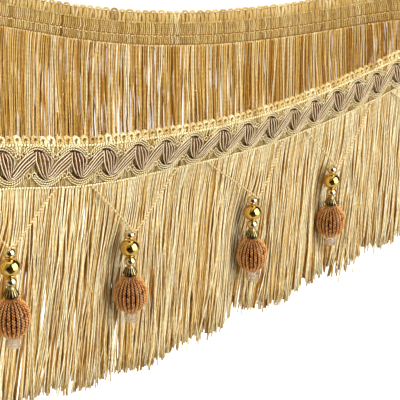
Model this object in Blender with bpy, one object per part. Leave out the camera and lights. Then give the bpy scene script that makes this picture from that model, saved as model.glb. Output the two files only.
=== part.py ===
"""A cut length of beaded tassel fringe trim, hanging from its heading in an open U.

A knitted heading tape with picot loops along its top edge carries a zigzag gimp ribbon
between two scallops of gimp cord. A cut fringe falls from the tape, and nine drops of
beads, a bell cap, a wound ball and a clear tube end hang in front of it on V strings.

World frame: +Z up, +X right, +Y away from the near stretch. The origin is on the tape's
top edge, near the middle of the near stretch, where the trim is held.
"""
import math
import random
from bisect import bisect_right
from collections import namedtuple

import bmesh
import bpy
from mathutils import Vector

MM = 0.001

# Driving sizes, in millimetres
TAPE_HEIGHT = 27.0
TAPE_THICK = 2.0
PICOT_PITCH = 5.5
PICOT_DEPTH = 2.2
GAP = 0.3
SLACK = 0.1
GIMP_GAP = 0.5
GIMP_THICK = 1.9
ZIGZAG_THICK = 2.3
ZIGZAG_PITCH = 23.05
ZIGZAG_START = 12.6
END_MARGIN = 1.0
FRINGE_LENGTH = 112.0
LOCK_PITCH = 2.95
LOCK_THICK = 2.8
LOCK_MIDDLE = 0.62
LOCK_WIDE = 0.42
END_WAVE = 3.0
END_WAVE_TURN = 0.11
END_SHORTER = 5.0
END_LONGER = 4.0
TIP_STRAY = 0.9
STRIP_HEIGHT = 2.6
ROOT_TURN = 14.0
SEGMENT_GAP = 0.5
DROP_PITCH = 94.2
DROP_START = 55.0
DROP_COUNT = 9
V_HALF_WIDTH = 35.4
STRING_RADIUS = 0.7
DROP_OUT = 11.2
BALL_PUSH = 6.5
PUSH_WIDTH = 15.0
PUSH_FROM = 12.0
PUSH_OVER = 40.0
BALL_RADIUS = 9.0
BALL_HALF_HEIGHT = 9.92
BALL_DEPTH = 37.4
TUBE_RADIUS = 3.2
TUBE_BORE = 2.3
TUBE_TOP = 47.3
TUBE_END = 52.4

# The top edge in plan and height, from the near cut end round the turn to the far one.
# Tilt is in degrees, positive where the tape's foot swings out on its face side.
Station = namedtuple("Station", "x y z tilt")
PATH = [
    Station(-127.5, -133.7, 29.0, 8),
    Station(-96.9, -100.7, 23.4, 8),
    Station(-78.8, -81.8, 18.1, 7),
    Station(-63.8, -67.6, 13.0, 4),
    Station(-48.6, -52.8, 9.3, 0),
    Station(-32.4, -35.7, 5.9, -4),
    Station(-16.0, -17.6, 3.2, -9),
    Station(0.0, 0.0, 0.1, -14),
    Station(20.2, 23.2, -2.5, -14),
    Station(34.9, 41.4, -3.6, -11),
    Station(53.4, 65.4, -4.9, -9),
    Station(68.9, 86.2, -5.2, -9),
    Station(87.1, 110.2, -4.5, -6),
    Station(107.6, 136.6, -2.7, -3),
    Station(125.3, 158.6, -0.9, -5),
    Station(142.0, 179.0, 1.5, -4),
    Station(160.5, 202.0, 4.5, -2),
    Station(173.5, 230.0, 8.0, 0),
    Station(179.0, 259.0, 12.0, 2),
    Station(174.5, 285.0, 16.0, 4),
    Station(158.5, 300.0, 18.5, 6),
    Station(137.0, 304.0, 15.0, 6),
    Station(114.0, 299.5, 11.8, 6),
    Station(78.0, 281.6, 10.0, 6),
    Station(41.3, 266.1, 8.7, 6),
    Station(5.5, 255.6, 8.7, 6),
    Station(-18.6, 253.1, 9.3, 6),
    Station(-44.1, 252.1, 9.9, 6),
    Station(-82.1, 250.8, 14.5, 6),
    Station(-107.5, 252.1, 19.0, 6),
    Station(-149.7, 254.1, 26.0, 6),
]

# Each drop's shift along the tape from the middle of its V, and the V's height
Drop = namedtuple("Drop", "shift height")
DROPS = [
    Drop(-6.0, 27.2),
    Drop(-9.2, 27.9),
    Drop(5.2, 28.9),
    Drop(-9.0, 29.6),
    Drop(2.0, 30.0),
    Drop(-2.0, 29.0),
    Drop(-4.0, 30.0),
    Drop(1.5, 29.5),
    Drop(-0.5, 29.0),
]

# Where each segment of the fringe but the last ends, closer together round the turn
SEGMENT_ENDS = [108.0, 216.0, 324.0, 432.0, 472.0, 510.0, 548.0, 590.0, 684.0, 778.0]

# How far the fringe leans along the tape for each unit that it falls
Lean = namedtuple("Lean", "at amount")
LEANS = [
    Lean(0, -0.20),
    Lean(60, -0.19),
    Lean(120, -0.15),
    Lean(220, -0.07),
    Lean(330, -0.04),
    Lean(430, 0.0),
    Lean(860, 0.0),
]

# Turned profiles as radius and depth under the V's foot. The beads are a small one under
# the string, a large one, and a small one over the cap.
Turn = namedtuple("Turn", "radius depth")
BEADS = [
    Turn(0.0, 0.0),
    Turn(2.0, 0.8),
    Turn(2.8, 2.8),
    Turn(2.0, 4.8),
    Turn(1.3, 5.5),
    Turn(3.3, 6.8),
    Turn(4.85, 10.3),
    Turn(3.3, 13.8),
    Turn(1.3, 15.1),
    Turn(2.1, 16.0),
    Turn(2.85, 18.0),
    Turn(2.1, 20.0),
    Turn(0.0, 20.8),
]
CAP = [
    Turn(0.0, 21.1),
    Turn(1.7, 21.4),
    Turn(2.7, 23.4),
    Turn(3.2, 25.4),
    Turn(4.2, 27.9),
    Turn(0.0, 26.8),
]

# One row for each step of a wavy band: the share of the pitch, then its top and foot
Wave = namedtuple("Wave", "share top foot")
ZIGZAG_WAVE = [
    Wave(0.0, 14.0, 21.8),
    Wave(0.14, 13.4, 21.0),
    Wave(0.48, 9.0, 16.6),
    Wave(0.62, 8.2, 16.0),
    Wave(0.76, 9.4, 17.4),
    Wave(0.90, 12.8, 20.9),
]
UPPER_WAVE = [
    Wave(0.08, 7.8, 11.2),
    Wave(0.34, 4.9, 8.4),
    Wave(0.58, 4.2, 7.6),
    Wave(0.82, 5.2, 8.8),
]
LOWER_WAVE = [
    Wave(0.0, 22.3, 25.6),
    Wave(0.26, 20.8, 24.3),
    Wave(0.58, 17.2, 21.0),
    Wave(0.80, 20.6, 24.2),
]


def b_spline(rows, steps):
    """A smooth line through the neighbourhood of the rows, as a list of 4-tuples."""
    ends = [rows[0]] * 2 + list(rows) + [rows[-1]] * 2
    line = []
    for i in range(len(ends) - 3):
        for k in range(steps):
            t = k / steps
            w = ((1 - t) ** 3 / 6, (3 * t**3 - 6 * t**2 + 4) / 6,
                 (-3 * t**3 + 3 * t**2 + 3 * t + 1) / 6, t**3 / 6)
            line.append(tuple(sum(w[j] * ends[i + j][c] for j in range(4)) for c in range(4)))
    line.append(tuple(rows[-1]))
    return line


LINE = b_spline(PATH, 12)
RUN = [0.0]
for before, after in zip(LINE, LINE[1:]):
    RUN.append(RUN[-1] + math.dist(before[:3], after[:3]))
LENGTH = RUN[-1]


def station(s):
    """The top edge's point and tilt at a distance along the tape, beyond its ends too."""
    i = min(max(bisect_right(RUN, s) - 1, 0), len(RUN) - 2)
    t = (s - RUN[i]) / max(RUN[i + 1] - RUN[i], 1e-9)
    a, b = LINE[i], LINE[i + 1]
    return [a[c] + (b[c] - a[c]) * t for c in range(4)]


def frame_at(s):
    """Point, direction along, outward normal and downward direction of the tape."""
    step = 3.0
    low, high = station(max(s - step, 0)), station(min(s + step, LENGTH))
    along = (Vector(high[:3]) - Vector(low[:3])).normalized()
    out = Vector((along.y, -along.x, 0)).normalized()
    up = out.cross(along)
    here = station(s)
    tilt = math.radians(here[3])
    down = out * math.sin(tilt) - up * math.cos(tilt)
    face = out * math.cos(tilt) + up * math.sin(tilt)
    return Vector(here[:3]), along, out, down, face


def on_tape(s, depth, out):
    """A point on the tape: along it, down from its top edge and out from its middle."""
    point, _, _, down, face = frame_at(s)
    return point + down * depth + face * out


def table(rows, s):
    """Value of a two-column table at s."""
    for a, b in zip(rows, rows[1:]):
        if s <= b[0]:
            return a[1] + (b[1] - a[1]) * max(s - a[0], 0) / (b[0] - a[0])
    return rows[-1][1]


def drop_middle(k):
    return DROP_START + DROP_PITCH * k


def pushed_in(s, fall):
    """How far a wound ball presses the fringe back, at its level and below."""
    ease = min(max((fall - PUSH_FROM) / PUSH_OVER, 0), 1)
    ease = ease * ease * (3 - 2 * ease)
    near = sum(math.exp(-((s - drop_middle(k) - DROPS[k].shift) / PUSH_WIDTH) ** 2)
               for k in range(DROP_COUNT))
    return BALL_PUSH * near * ease


def on_fringe(s, fall, out):
    """A point on the hanging fringe: it leaves along the tape's slope and then hangs."""
    point, along, outward, down, face = frame_at(s)
    root = point + down * (TAPE_HEIGHT + GAP)
    hang = (Vector((0, 0, -1)) + along * table(LEANS, s)).normalized()
    first = ROOT_TURN * (1 - math.exp(-fall / ROOT_TURN)) if fall > 0 else fall
    place = root + down * first + hang * (fall - first)
    drifted = (place - point).dot(along)
    return place + outward * (out - pushed_in(s + drifted, fall))


def plumb_of(s, fall, out):
    """A point on the fringe's surface straight below s, whichever yarn has leaned there."""
    foot, along = on_tape(s, TAPE_HEIGHT, 0), frame_at(s)[1]
    level = Vector((along.x, along.y, 0)).normalized()
    root = s
    for _ in range(4):
        root -= (on_fringe(root, fall, 0) - foot).dot(level)
    return on_fringe(root, fall, out)


def zigzag_at(k):
    """Where the k-th foot of the zigzag stands, a little uneven as hand-guided work is."""
    uneven = 1.1 * math.sin(2.3 * k) + 0.5 * math.sin(5.1 * k)
    return ZIGZAG_START + ZIGZAG_PITCH * k + uneven


def material(name, colour, roughness, metallic=0.0, transmission=0.0):
    made = bpy.data.materials.new(name)
    made.use_nodes = True
    shader = made.node_tree.nodes["Principled BSDF"]
    shader.inputs["Base Color"].default_value = (*colour, 1.0)
    shader.inputs["Roughness"].default_value = roughness
    shader.inputs["Metallic"].default_value = metallic
    shader.inputs["Transmission Weight"].default_value = transmission
    made.diffuse_color = (*colour, 1.0)
    return made


def finish(name, mesh_data, look, smooth=False):
    """Turn a bmesh in millimetres into a named object in metres."""
    bmesh.ops.scale(mesh_data, vec=(MM, MM, MM), verts=mesh_data.verts)
    bmesh.ops.recalc_face_normals(mesh_data, faces=mesh_data.faces)
    mesh = bpy.data.meshes.new(name)
    mesh_data.to_mesh(mesh)
    mesh_data.free()
    if smooth:
        mesh.shade_smooth()
        mesh.set_sharp_from_angle(angle=math.radians(50))
    mesh.materials.append(look)
    made = bpy.data.objects.new(name, mesh)
    bpy.context.scene.collection.objects.link(made)
    return made


def skin(shape, rings):
    """Skin a row of equal rings into one closed body with flat ends."""
    loops = [[shape.verts.new(p) for p in ring] for ring in rings]
    size = len(rings[0])
    for a, b in zip(loops, loops[1:]):
        for i in range(size):
            j = (i + 1) % size
            shape.faces.new((a[i], a[j], b[j], b[i]))
    shape.faces.new(loops[0])
    shape.faces.new(reversed(loops[-1]))


def heading_tape(look):
    """The tape: a sheet of its own height whose top edge is scalloped by the picots."""
    steps = round(LENGTH / PICOT_PITCH) * 2
    half = TAPE_THICK / 2
    rings = []
    for i in range(steps + 1):
        s = LENGTH * i / steps
        top = PICOT_DEPTH if i % 2 == 0 else 0.0
        rings.append([on_tape(s, top, -half), on_tape(s, top, half),
                      on_tape(s, TAPE_HEIGHT, half), on_tape(s, TAPE_HEIGHT, -half)])
    shape = bmesh.new()
    skin(shape, rings)
    return finish("heading_tape", shape, look)


def wavy_band(name, wave, thick, look):
    """A gimp band laid on the tape's face, waving once for each pitch of the zigzag."""
    inner = TAPE_THICK / 2 + GIMP_GAP
    rings = []
    for k in range(-1, math.ceil(LENGTH / ZIGZAG_PITCH) + 1):
        low, high = zigzag_at(k), zigzag_at(k + 1)
        for row in wave:
            s = low + (high - low) * row.share
            if END_MARGIN < s < LENGTH - END_MARGIN:
                rings.append([on_tape(s, row.top, inner), on_tape(s, row.top, inner + thick),
                              on_tape(s, row.foot, inner + thick), on_tape(s, row.foot, inner)])
    shape = bmesh.new()
    skin(shape, rings)
    return finish(name, shape, look)


def fringe_segment(number, start, end, look):
    """Locks of yarn fused at their roots into a narrow strip just under the tape."""
    rng = random.Random(100 + number)
    count = round((end - start) / LOCK_PITCH)
    half = TAPE_THICK / 2
    shape = bmesh.new()
    step = (end - start) / count
    ring = []
    for i in range(count + 1):
        ring.append([shape.verts.new(on_fringe(start + step * i, fall, side * half))
                     for fall, side in ((0, -1), (0, 1), (STRIP_HEIGHT, 1), (STRIP_HEIGHT, -1))])
    for i, (a, b) in enumerate(zip(ring, ring[1:])):
        for p, q in ((0, 1), (1, 2), (3, 0)):
            shape.faces.new((a[p], a[q], b[q], b[p]))
        s = start + step * (i + 0.5)
        wave = END_WAVE * math.sin(s * END_WAVE_TURN)
        length = FRINGE_LENGTH + wave + rng.uniform(-END_SHORTER, END_LONGER)
        wide = step * LOCK_WIDE
        corners = [(-wide, -LOCK_THICK / 2), (-wide, LOCK_THICK / 2),
                   (wide, LOCK_THICK / 2), (wide, -LOCK_THICK / 2)]
        root = [a[3], a[2], b[2], b[3]]
        middle = [shape.verts.new(on_fringe(s + along, length * LOCK_MIDDLE, out))
                  for along, out in corners]
        tip = shape.verts.new(on_fringe(s + rng.uniform(-TIP_STRAY, TIP_STRAY), length,
                                        rng.uniform(-TIP_STRAY, TIP_STRAY)))
        for p in range(4):
            q = (p + 1) % 4
            shape.faces.new((root[p], root[q], middle[q], middle[p]))
            shape.faces.new((middle[p], middle[q], tip))
    shape.faces.new(ring[0])
    shape.faces.new(reversed(ring[-1]))
    return finish(f"fringe_{number:02d}", shape, look)


def turned(name, profile, sides, middle, look, smooth=True):
    """A solid turned about the drop's upright axis, from its profile under the V's foot."""
    shape = bmesh.new()
    rings = []
    for row in profile:
        if row.radius == 0:
            rings.append([shape.verts.new(middle - Vector((0, 0, row.depth)))])
            continue
        rings.append([shape.verts.new(middle + Vector((row.radius * math.cos(a),
                                                       row.radius * math.sin(a), -row.depth)))
                      for a in (2 * math.pi * i / sides for i in range(sides))])
    for a, b in zip(rings, rings[1:]):
        for i in range(sides):
            j = (i + 1) % sides
            corners = [a[i % len(a)], a[j % len(a)], b[j % len(b)], b[i % len(b)]]
            shape.faces.new(list(dict.fromkeys(corners)))
    return finish(name, shape, look, smooth)


def ball_profile():
    """The wound ball, a little taller than wide."""
    rows = 6
    return [Turn(0.0 if i in (0, rows) else BALL_RADIUS * math.sin(math.pi * i / rows),
                 BALL_DEPTH - BALL_HALF_HEIGHT * math.cos(math.pi * i / rows))
            for i in range(rows + 1)]


def clear_tube(name, middle, sides, look):
    """A short open tube: its outer and inner walls joined by two flat ends."""
    shape = bmesh.new()
    rings = []
    for radius, depth in ((TUBE_RADIUS, TUBE_TOP), (TUBE_RADIUS, TUBE_END),
                          (TUBE_BORE, TUBE_END), (TUBE_BORE, TUBE_TOP)):
        rings.append([shape.verts.new(middle + Vector((radius * math.cos(a),
                                                       radius * math.sin(a), -depth)))
                      for a in (2 * math.pi * i / sides for i in range(sides))])
    for a, b in zip(rings, rings[1:] + rings[:1]):
        for i in range(sides):
            j = (i + 1) % sides
            shape.faces.new((a[i], a[j], b[j], b[i]))
    return finish(name, shape, look, smooth=True)


def v_string(name, k, foot, look):
    """A thin string from the tape's foot down to the drop and up again."""
    legs, sides = 4, 4
    row = DROPS[k]
    middle = drop_middle(k)
    start_fall, start_out = -0.6, TAPE_THICK / 2 + GAP + STRING_RADIUS + SLACK
    points = []
    for side in (-1, 1):
        leg = []
        for i in range(legs):
            share = i / legs
            s = middle + side * V_HALF_WIDTH * (1 - share) + row.shift * share
            fall = start_fall + (row.height - start_fall) * share
            leg.append(plumb_of(s, fall, start_out + (DROP_OUT - start_out) * share))
        points += leg if side < 0 else [foot] + leg[::-1]
    rings = []
    for i, point in enumerate(points):
        along = (points[min(i + 1, len(points) - 1)] - points[max(i - 1, 0)]).normalized()
        across = frame_at(middle)[2]
        other = along.cross(across).normalized()
        rings.append([point + (across * math.cos(a) + other * math.sin(a)) * STRING_RADIUS
                      for a in (2 * math.pi * (j + 0.5) / sides for j in range(sides))])
    shape = bmesh.new()
    skin(shape, rings)
    return finish(name, shape, look, smooth=True)


def drop(k, looks):
    """The string, beads, cap, ball and tube of one drop."""
    row = DROPS[k]
    at = drop_middle(k) + row.shift
    level = plumb_of(at, row.height, DROP_OUT)
    ball = plumb_of(at, row.height + BALL_DEPTH, DROP_OUT)
    foot = Vector((ball.x, ball.y, level.z))
    name = f"drop_{k + 1}"
    v_string(f"{name}_string", k, foot + Vector((0, 0, STRING_RADIUS + GAP + SLACK)),
             looks["string"])
    turned(f"{name}_beads", BEADS, 8, foot, looks["gold"])
    turned(f"{name}_cap", CAP, 8, foot, looks["cap"], smooth=False)
    turned(f"{name}_ball", ball_profile(), 10, foot, looks["ball"])
    clear_tube(f"{name}_tube", foot, 8, looks["clear"])


def main():
    for made in list(bpy.data.objects):
        bpy.data.objects.remove(made, do_unlink=True)
    looks = {
        "tape": material("tape_yarn", (0.66, 0.49, 0.23), 0.6),
        "cord": material("gimp_cord", (0.86, 0.72, 0.42), 0.45),
        "zigzag": material("zigzag_thread", (0.38, 0.20, 0.12), 0.4),
        "fringe": material("fringe_yarn", (0.76, 0.57, 0.28), 0.4),
        "string": material("drop_string", (0.62, 0.42, 0.17), 0.5),
        "gold": material("bead_gold", (0.83, 0.62, 0.24), 0.15, metallic=1.0),
        "cap": material("cap_gold", (0.55, 0.40, 0.14), 0.35, metallic=1.0),
        "ball": material("ball_thread", (0.40, 0.17, 0.07), 0.4),
        "clear": material("clear_tube", (0.95, 0.93, 0.88), 0.1, transmission=0.9),
    }
    heading_tape(looks["tape"])
    wavy_band("gimp_upper", UPPER_WAVE, GIMP_THICK, looks["cord"])
    wavy_band("gimp_zigzag", ZIGZAG_WAVE, ZIGZAG_THICK, looks["zigzag"])
    wavy_band("gimp_lower", LOWER_WAVE, GIMP_THICK, looks["cord"])
    ends = [0.0] + SEGMENT_ENDS + [LENGTH]
    for number, (start, end) in enumerate(zip(ends, ends[1:]), 1):
        fringe_segment(number, start + SEGMENT_GAP / 2, end - SEGMENT_GAP / 2, looks["fringe"])
    for k in range(DROP_COUNT):
        drop(k, looks)


main()
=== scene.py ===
# %% [markdown]
# # A beaded tassel fringe trim
# The piece is a length of curtain trim. A knitted heading tape carries a zigzag ribbon
# between two rows of scalloped gimp cord, a cut fringe falls from it, and beaded drops
# hang in front of the fringe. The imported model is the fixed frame: it says where every
# piece is. This script only makes the surfaces that the eye sees.

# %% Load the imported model
import math
from collections import namedtuple
from itertools import product

import bpy
import numpy as np
from mathutils import Matrix, Vector


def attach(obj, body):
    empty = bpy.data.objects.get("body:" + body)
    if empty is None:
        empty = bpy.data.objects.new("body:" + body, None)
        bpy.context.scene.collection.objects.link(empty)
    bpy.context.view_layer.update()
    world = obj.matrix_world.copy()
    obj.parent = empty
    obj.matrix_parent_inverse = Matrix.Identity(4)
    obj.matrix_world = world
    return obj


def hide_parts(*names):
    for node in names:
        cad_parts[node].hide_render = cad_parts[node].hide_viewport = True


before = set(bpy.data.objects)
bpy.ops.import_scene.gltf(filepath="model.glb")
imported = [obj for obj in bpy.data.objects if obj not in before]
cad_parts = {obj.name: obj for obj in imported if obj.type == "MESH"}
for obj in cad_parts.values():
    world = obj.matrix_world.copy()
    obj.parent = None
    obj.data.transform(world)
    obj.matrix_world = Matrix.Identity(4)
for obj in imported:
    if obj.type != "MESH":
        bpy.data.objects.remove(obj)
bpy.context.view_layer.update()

MM = 0.001
rng = np.random.default_rng(20)

# %% [markdown]
# ## The camera
# The trim is seen from a little above, from far away with a long lens, so that its near
# stretch runs off to the left and its far stretch stands behind, reverse side out.

# %% Camera
CAMERA_PLACE = (0.0055, -0.8139, 0.2372)
CAMERA_PITCH = math.radians(70.9)
CAMERA_LENS = 138.6

bpy.ops.object.select_all(action="DESELECT")
bpy.ops.object.camera_add(location=CAMERA_PLACE, rotation=(CAMERA_PITCH, 0, 0))
camera = bpy.context.object
camera.data.lens = CAMERA_LENS
camera.data.clip_start = 0.05
bpy.context.scene.camera = camera
print("camera", CAMERA_PLACE)

# %% [markdown]
# ## Helpers for node work
# Every finish here is made of shader nodes. Small helpers keep that short: they start a
# material or an empty node group, and add a Math node, a mix of two colours, an even slope,
# a noise on Object coordinates or a relief.

# %% Node helpers
def new_group(name, inputs, outputs):
    """An empty shader node group with float or colour sockets."""
    group = bpy.data.node_groups.new(name, "ShaderNodeTree")
    for label, kind, value in inputs:
        socket = group.interface.new_socket(label, in_out="INPUT", socket_type=kind)
        socket.default_value = value
    for label, kind in outputs:
        group.interface.new_socket(label, in_out="OUTPUT", socket_type=kind)
    return group, group.nodes.new("NodeGroupInput"), group.nodes.new("NodeGroupOutput")


def math_node(tree, operation, first, second=0.0, third=None):
    """A Math node whose inputs are sockets or plain numbers."""
    node = tree.nodes.new("ShaderNodeMath")
    node.operation = operation
    for socket, value in zip(node.inputs, (first, second, third)):
        if value is None:
            continue
        if isinstance(value, (int, float)):
            socket.default_value = value
        else:
            tree.links.new(value, socket)
    return node.outputs[0]


def mix_colour(tree, share, first, second):
    """A colour mix whose inputs are sockets or colours."""
    node = tree.nodes.new("ShaderNodeMix")
    node.data_type = "RGBA"
    for place, value in ((0, share), (6, first), (7, second)):
        socket = node.inputs[place]
        if isinstance(value, (int, float)):
            socket.default_value = value
        elif isinstance(value, tuple):
            socket.default_value = (*value, 1)
        else:
            tree.links.new(value, socket)
    return node.outputs[2]


def ramp_between(tree, value, low, high):
    """0 below low, 1 above high, and an even slope between them."""
    node = tree.nodes.new("ShaderNodeMapRange")
    tree.links.new(value, node.inputs["Value"])
    node.inputs["From Min"].default_value = low
    node.inputs["From Max"].default_value = high
    return node.outputs["Result"]


def new_material(name):
    """A material with its node tree and its shader."""
    made = bpy.data.materials.new(name)
    made.use_nodes = True
    return made, made.node_tree, made.node_tree.nodes["Principled BSDF"]


def speckle(tree, scale, detail=2):
    """A noise that is fixed to the object."""
    place = tree.nodes.new("ShaderNodeTexCoord")
    noise = tree.nodes.new("ShaderNodeTexNoise")
    noise.inputs["Scale"].default_value = scale
    noise.inputs["Detail"].default_value = detail
    tree.links.new(place.outputs["Object"], noise.inputs["Vector"])
    return noise.outputs[0]


def emboss(tree, shader, height, distance):
    """Relief in the shader from a height socket, with its distance in millimetres."""
    relief = tree.nodes.new("ShaderNodeBump")
    relief.inputs["Distance"].default_value = distance * MM
    tree.links.new(height, relief.inputs["Height"])
    tree.links.new(relief.outputs[0], shader.inputs["Normal"])


FLOAT, COLOUR = "NodeSocketFloat", "NodeSocketColor"
print("node helpers ready")

# %% [markdown]
# ## Floor and light
# A plain pale floor lies well below the trim. One wide soft window lights it from the
# right, a little in front, so the near stretch is lit full on and the far stretch, which
# faces another way, is dimmer. A small lamp on the left softens the shadows and one behind
# lights the reverse. Polished beads show what stands round them: a single window, which is
# why the left lamp is kept out of reflections, a pale ceiling, tan walls, and darkness to
# the right and behind the camera. The camera itself sees white all round.

# %% The floor
FLOOR_LEVEL = -0.9
FLOOR_SIZE = 30.0
PAPER, DIM_PAPER = (0.5, 0.47, 0.42), (0.03, 0.025, 0.02)
DIM_SLOPES = (1.5, -0.3)
DIM_EDGE = (0.35, 0.6)


def floor_material():
    """Paper, white to the camera. In front it is dim, so the beads mirror a dark patch."""
    made, tree, shader = new_material("pale_floor")
    place = tree.nodes.new("ShaderNodeTexCoord")
    parts = tree.nodes.new("ShaderNodeSeparateXYZ")
    tree.links.new(place.outputs["Object"], parts.inputs[0])
    sides = [math_node(tree, "MULTIPLY", parts.outputs[0], slope) for slope in DIM_SLOPES]
    aside = math_node(tree, "MINIMUM", *sides)
    wedge = math_node(tree, "SUBTRACT", aside, parts.outputs[1])
    dim = ramp_between(tree, wedge, *DIM_EDGE)
    tree.links.new(mix_colour(tree, dim, PAPER, DIM_PAPER), shader.inputs["Base Color"])
    shader.inputs["Roughness"].default_value = 0.9
    ray = tree.nodes.new("ShaderNodeLightPath")
    shader.inputs["Emission Color"].default_value = (1, 1, 1, 1)
    tree.links.new(ray.outputs["Is Camera Ray"], shader.inputs["Emission Strength"])
    return made


bpy.ops.object.select_all(action="DESELECT")
bpy.ops.mesh.primitive_plane_add(size=FLOOR_SIZE, location=(0, 0, FLOOR_LEVEL))
floor = bpy.context.object
floor.name = "floor"
floor.data.materials.append(floor_material())
print("floor at", FLOOR_LEVEL)


# %% The lamps
LIT_PLACE = Vector((0.02, 0.05, -0.03))


def soft_lamp(name, way, distance, size, power, tint):
    """An area lamp, wide and tall, that stands some way off and faces the trim."""
    data = bpy.data.lights.new(name, "AREA")
    data.shape = "RECTANGLE"
    data.size, data.size_y = size
    data.energy = power
    data.color = tint
    lamp = bpy.data.objects.new(name, data)
    lamp.location = LIT_PLACE + Vector(way).normalized() * distance
    lamp.rotation_euler = (-Vector(way)).to_track_quat("-Z", "Y").to_euler()
    bpy.context.scene.collection.objects.link(lamp)
    return lamp


window_lamp = soft_lamp("window_lamp", (0.91, -0.42, 0.32), 2.2, (2.4, 3.0), 91,
                        (1, 0.98, 0.94))
left_lamp = soft_lamp("left_lamp", (-0.5, -0.8, 0.35), 2.4, (0.9, 0.9), 52, (1, 0.97, 0.88))
left_lamp.visible_glossy = False
back_lamp = soft_lamp("back_lamp", (-0.25, 1.0, 0.4), 2.4, (1.2, 1.2), 34, (1, 0.98, 0.95))
print("lamps", window_lamp.name, left_lamp.name, back_lamp.name)

# %% The room that the beads mirror
WALL, CEILING, WHITE = (0.38, 0.29, 0.17), (0.95, 0.93, 0.9), (1.0, 1.0, 1.0)
DARK_BEHIND, DARK_RIGHT = (0.02, 0.015, 0.01), (0.04, 0.03, 0.02)

world = bpy.data.worlds.new("studio")
world.use_nodes = True
room = world.node_tree
backdrop = room.nodes["Background"]
way = room.nodes.new("ShaderNodeTexCoord")
axes = room.nodes.new("ShaderNodeSeparateXYZ")
room.links.new(way.outputs["Generated"], axes.inputs[0])

behind = ramp_between(room, math_node(room, "MULTIPLY", axes.outputs[1], -1.0), 0.8, 0.88)
beside = ramp_between(room, axes.outputs[0], 0.0, 0.12)
above = ramp_between(room, axes.outputs[2], 0.86, 0.94)
around = mix_colour(room, behind, WALL, DARK_BEHIND)
around = mix_colour(room, beside, around, DARK_RIGHT)
around = mix_colour(room, above, around, CEILING)
ray = room.nodes.new("ShaderNodeLightPath")
seen = mix_colour(room, ray.outputs["Is Camera Ray"], around, WHITE)
room.links.new(seen, backdrop.inputs["Color"])
backdrop.inputs["Strength"].default_value = 1.0
bpy.context.scene.world = world
bpy.context.scene.view_settings.view_transform = "Standard"
print("room", world.name)

# %% [markdown]
# ## The line that the trim hangs in
# The trim bends in one long U. Its top edge is a smooth spline through a few stations, as
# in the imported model, and everything else is placed by three numbers: how far along the
# tape, how far down from its top edge, and how far out from its middle towards the face.

# %% Sizes and stations of the tape, in millimetres
TAPE_HEIGHT = 27.0
PICOT_COUNT = 158
ZIGZAG_PITCH = 23.05
ZIGZAG_START = 12.6
FRINGE_LENGTH = 112.0
END_WAVE = 3.0
END_WAVE_TURN = 0.11
ROOT_GAP = 0.3
ROOT_TURN = 14.0
SEGMENT_ENDS = [108.0, 216.0, 324.0, 432.0, 472.0, 510.0, 548.0, 590.0, 684.0, 778.0]
DROP_PITCH = 94.2
DROP_START = 55.0
V_HALF_WIDTH = 35.4
DROP_OUT = 11.2
BALL_PUSH = 6.5
PUSH_WIDTH = 15.0
PUSH_FROM = 12.0
PUSH_OVER = 40.0
BALL_DEPTH = 37.4

Station = namedtuple("Station", "x y z tilt")
PATH = [Station(*row) for row in [
    (-127.5, -133.7, 29.0, 8), (-96.9, -100.7, 23.4, 8), (-78.8, -81.8, 18.1, 7),
    (-63.8, -67.6, 13.0, 4), (-48.6, -52.8, 9.3, 0), (-32.4, -35.7, 5.9, -4),
    (-16.0, -17.6, 3.2, -9), (0.0, 0.0, 0.1, -14), (20.2, 23.2, -2.5, -14),
    (34.9, 41.4, -3.6, -11), (53.4, 65.4, -4.9, -9), (68.9, 86.2, -5.2, -9),
    (87.1, 110.2, -4.5, -6), (107.6, 136.6, -2.7, -3), (125.3, 158.6, -0.9, -5),
    (142.0, 179.0, 1.5, -4), (160.5, 202.0, 4.5, -2), (173.5, 230.0, 8.0, 0),
    (179.0, 259.0, 12.0, 2), (174.5, 285.0, 16.0, 4), (158.5, 300.0, 18.5, 6),
    (137.0, 304.0, 15.0, 6), (114.0, 299.5, 11.8, 6), (78.0, 281.6, 10.0, 6),
    (41.3, 266.1, 8.7, 6), (5.5, 255.6, 8.7, 6), (-18.6, 253.1, 9.3, 6),
    (-44.1, 252.1, 9.9, 6), (-82.1, 250.8, 14.5, 6), (-107.5, 252.1, 19.0, 6),
    (-149.7, 254.1, 26.0, 6),
]]

# Each drop's shift along the tape from the middle of its V, and the V's height
Drop = namedtuple("Drop", "shift height")
DROPS = [Drop(*row) for row in [
    (-6.0, 27.2), (-9.2, 27.9), (5.2, 28.9), (-9.0, 29.6), (2.0, 30.0),
    (-2.0, 29.0), (-4.0, 30.0), (1.5, 29.5), (-0.5, 29.0),
]]

# How far the fringe leans along the tape for each unit that it falls
Lean = namedtuple("Lean", "at amount")
LEANS = [Lean(*row) for row in [
    (0, -0.20), (60, -0.19), (120, -0.15), (220, -0.07),
    (330, -0.04), (430, 0.0), (860, 0.0),
]]
print("stations", len(PATH), "drops", len(DROPS))


# %% The spline, measured along its run
def b_spline(rows, steps):
    """A smooth line through the neighbourhood of the rows."""
    rows = np.array(rows, float)
    ends = np.vstack([rows[:1]] * 2 + [rows] + [rows[-1:]] * 2)
    t = np.arange(steps)[:, None] / steps
    weights = [(1 - t) ** 3 / 6, (3 * t**3 - 6 * t**2 + 4) / 6,
               (-3 * t**3 + 3 * t**2 + 3 * t + 1) / 6, t**3 / 6]
    spans = [sum(weights[j] * ends[i + j] for j in range(4)) for i in range(len(ends) - 3)]
    return np.vstack(spans + [rows[-1:]])


def unit(vectors):
    """The vectors, each made one long."""
    return vectors / np.maximum(np.linalg.norm(vectors, axis=-1, keepdims=True), 1e-12)


def run_along(points):
    """How far along its own line each point lies."""
    gone = np.cumsum(np.linalg.norm(np.diff(points, axis=-2), axis=-1), axis=-1)
    return np.concatenate([0 * gone[..., :1], gone], axis=-1)


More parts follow.
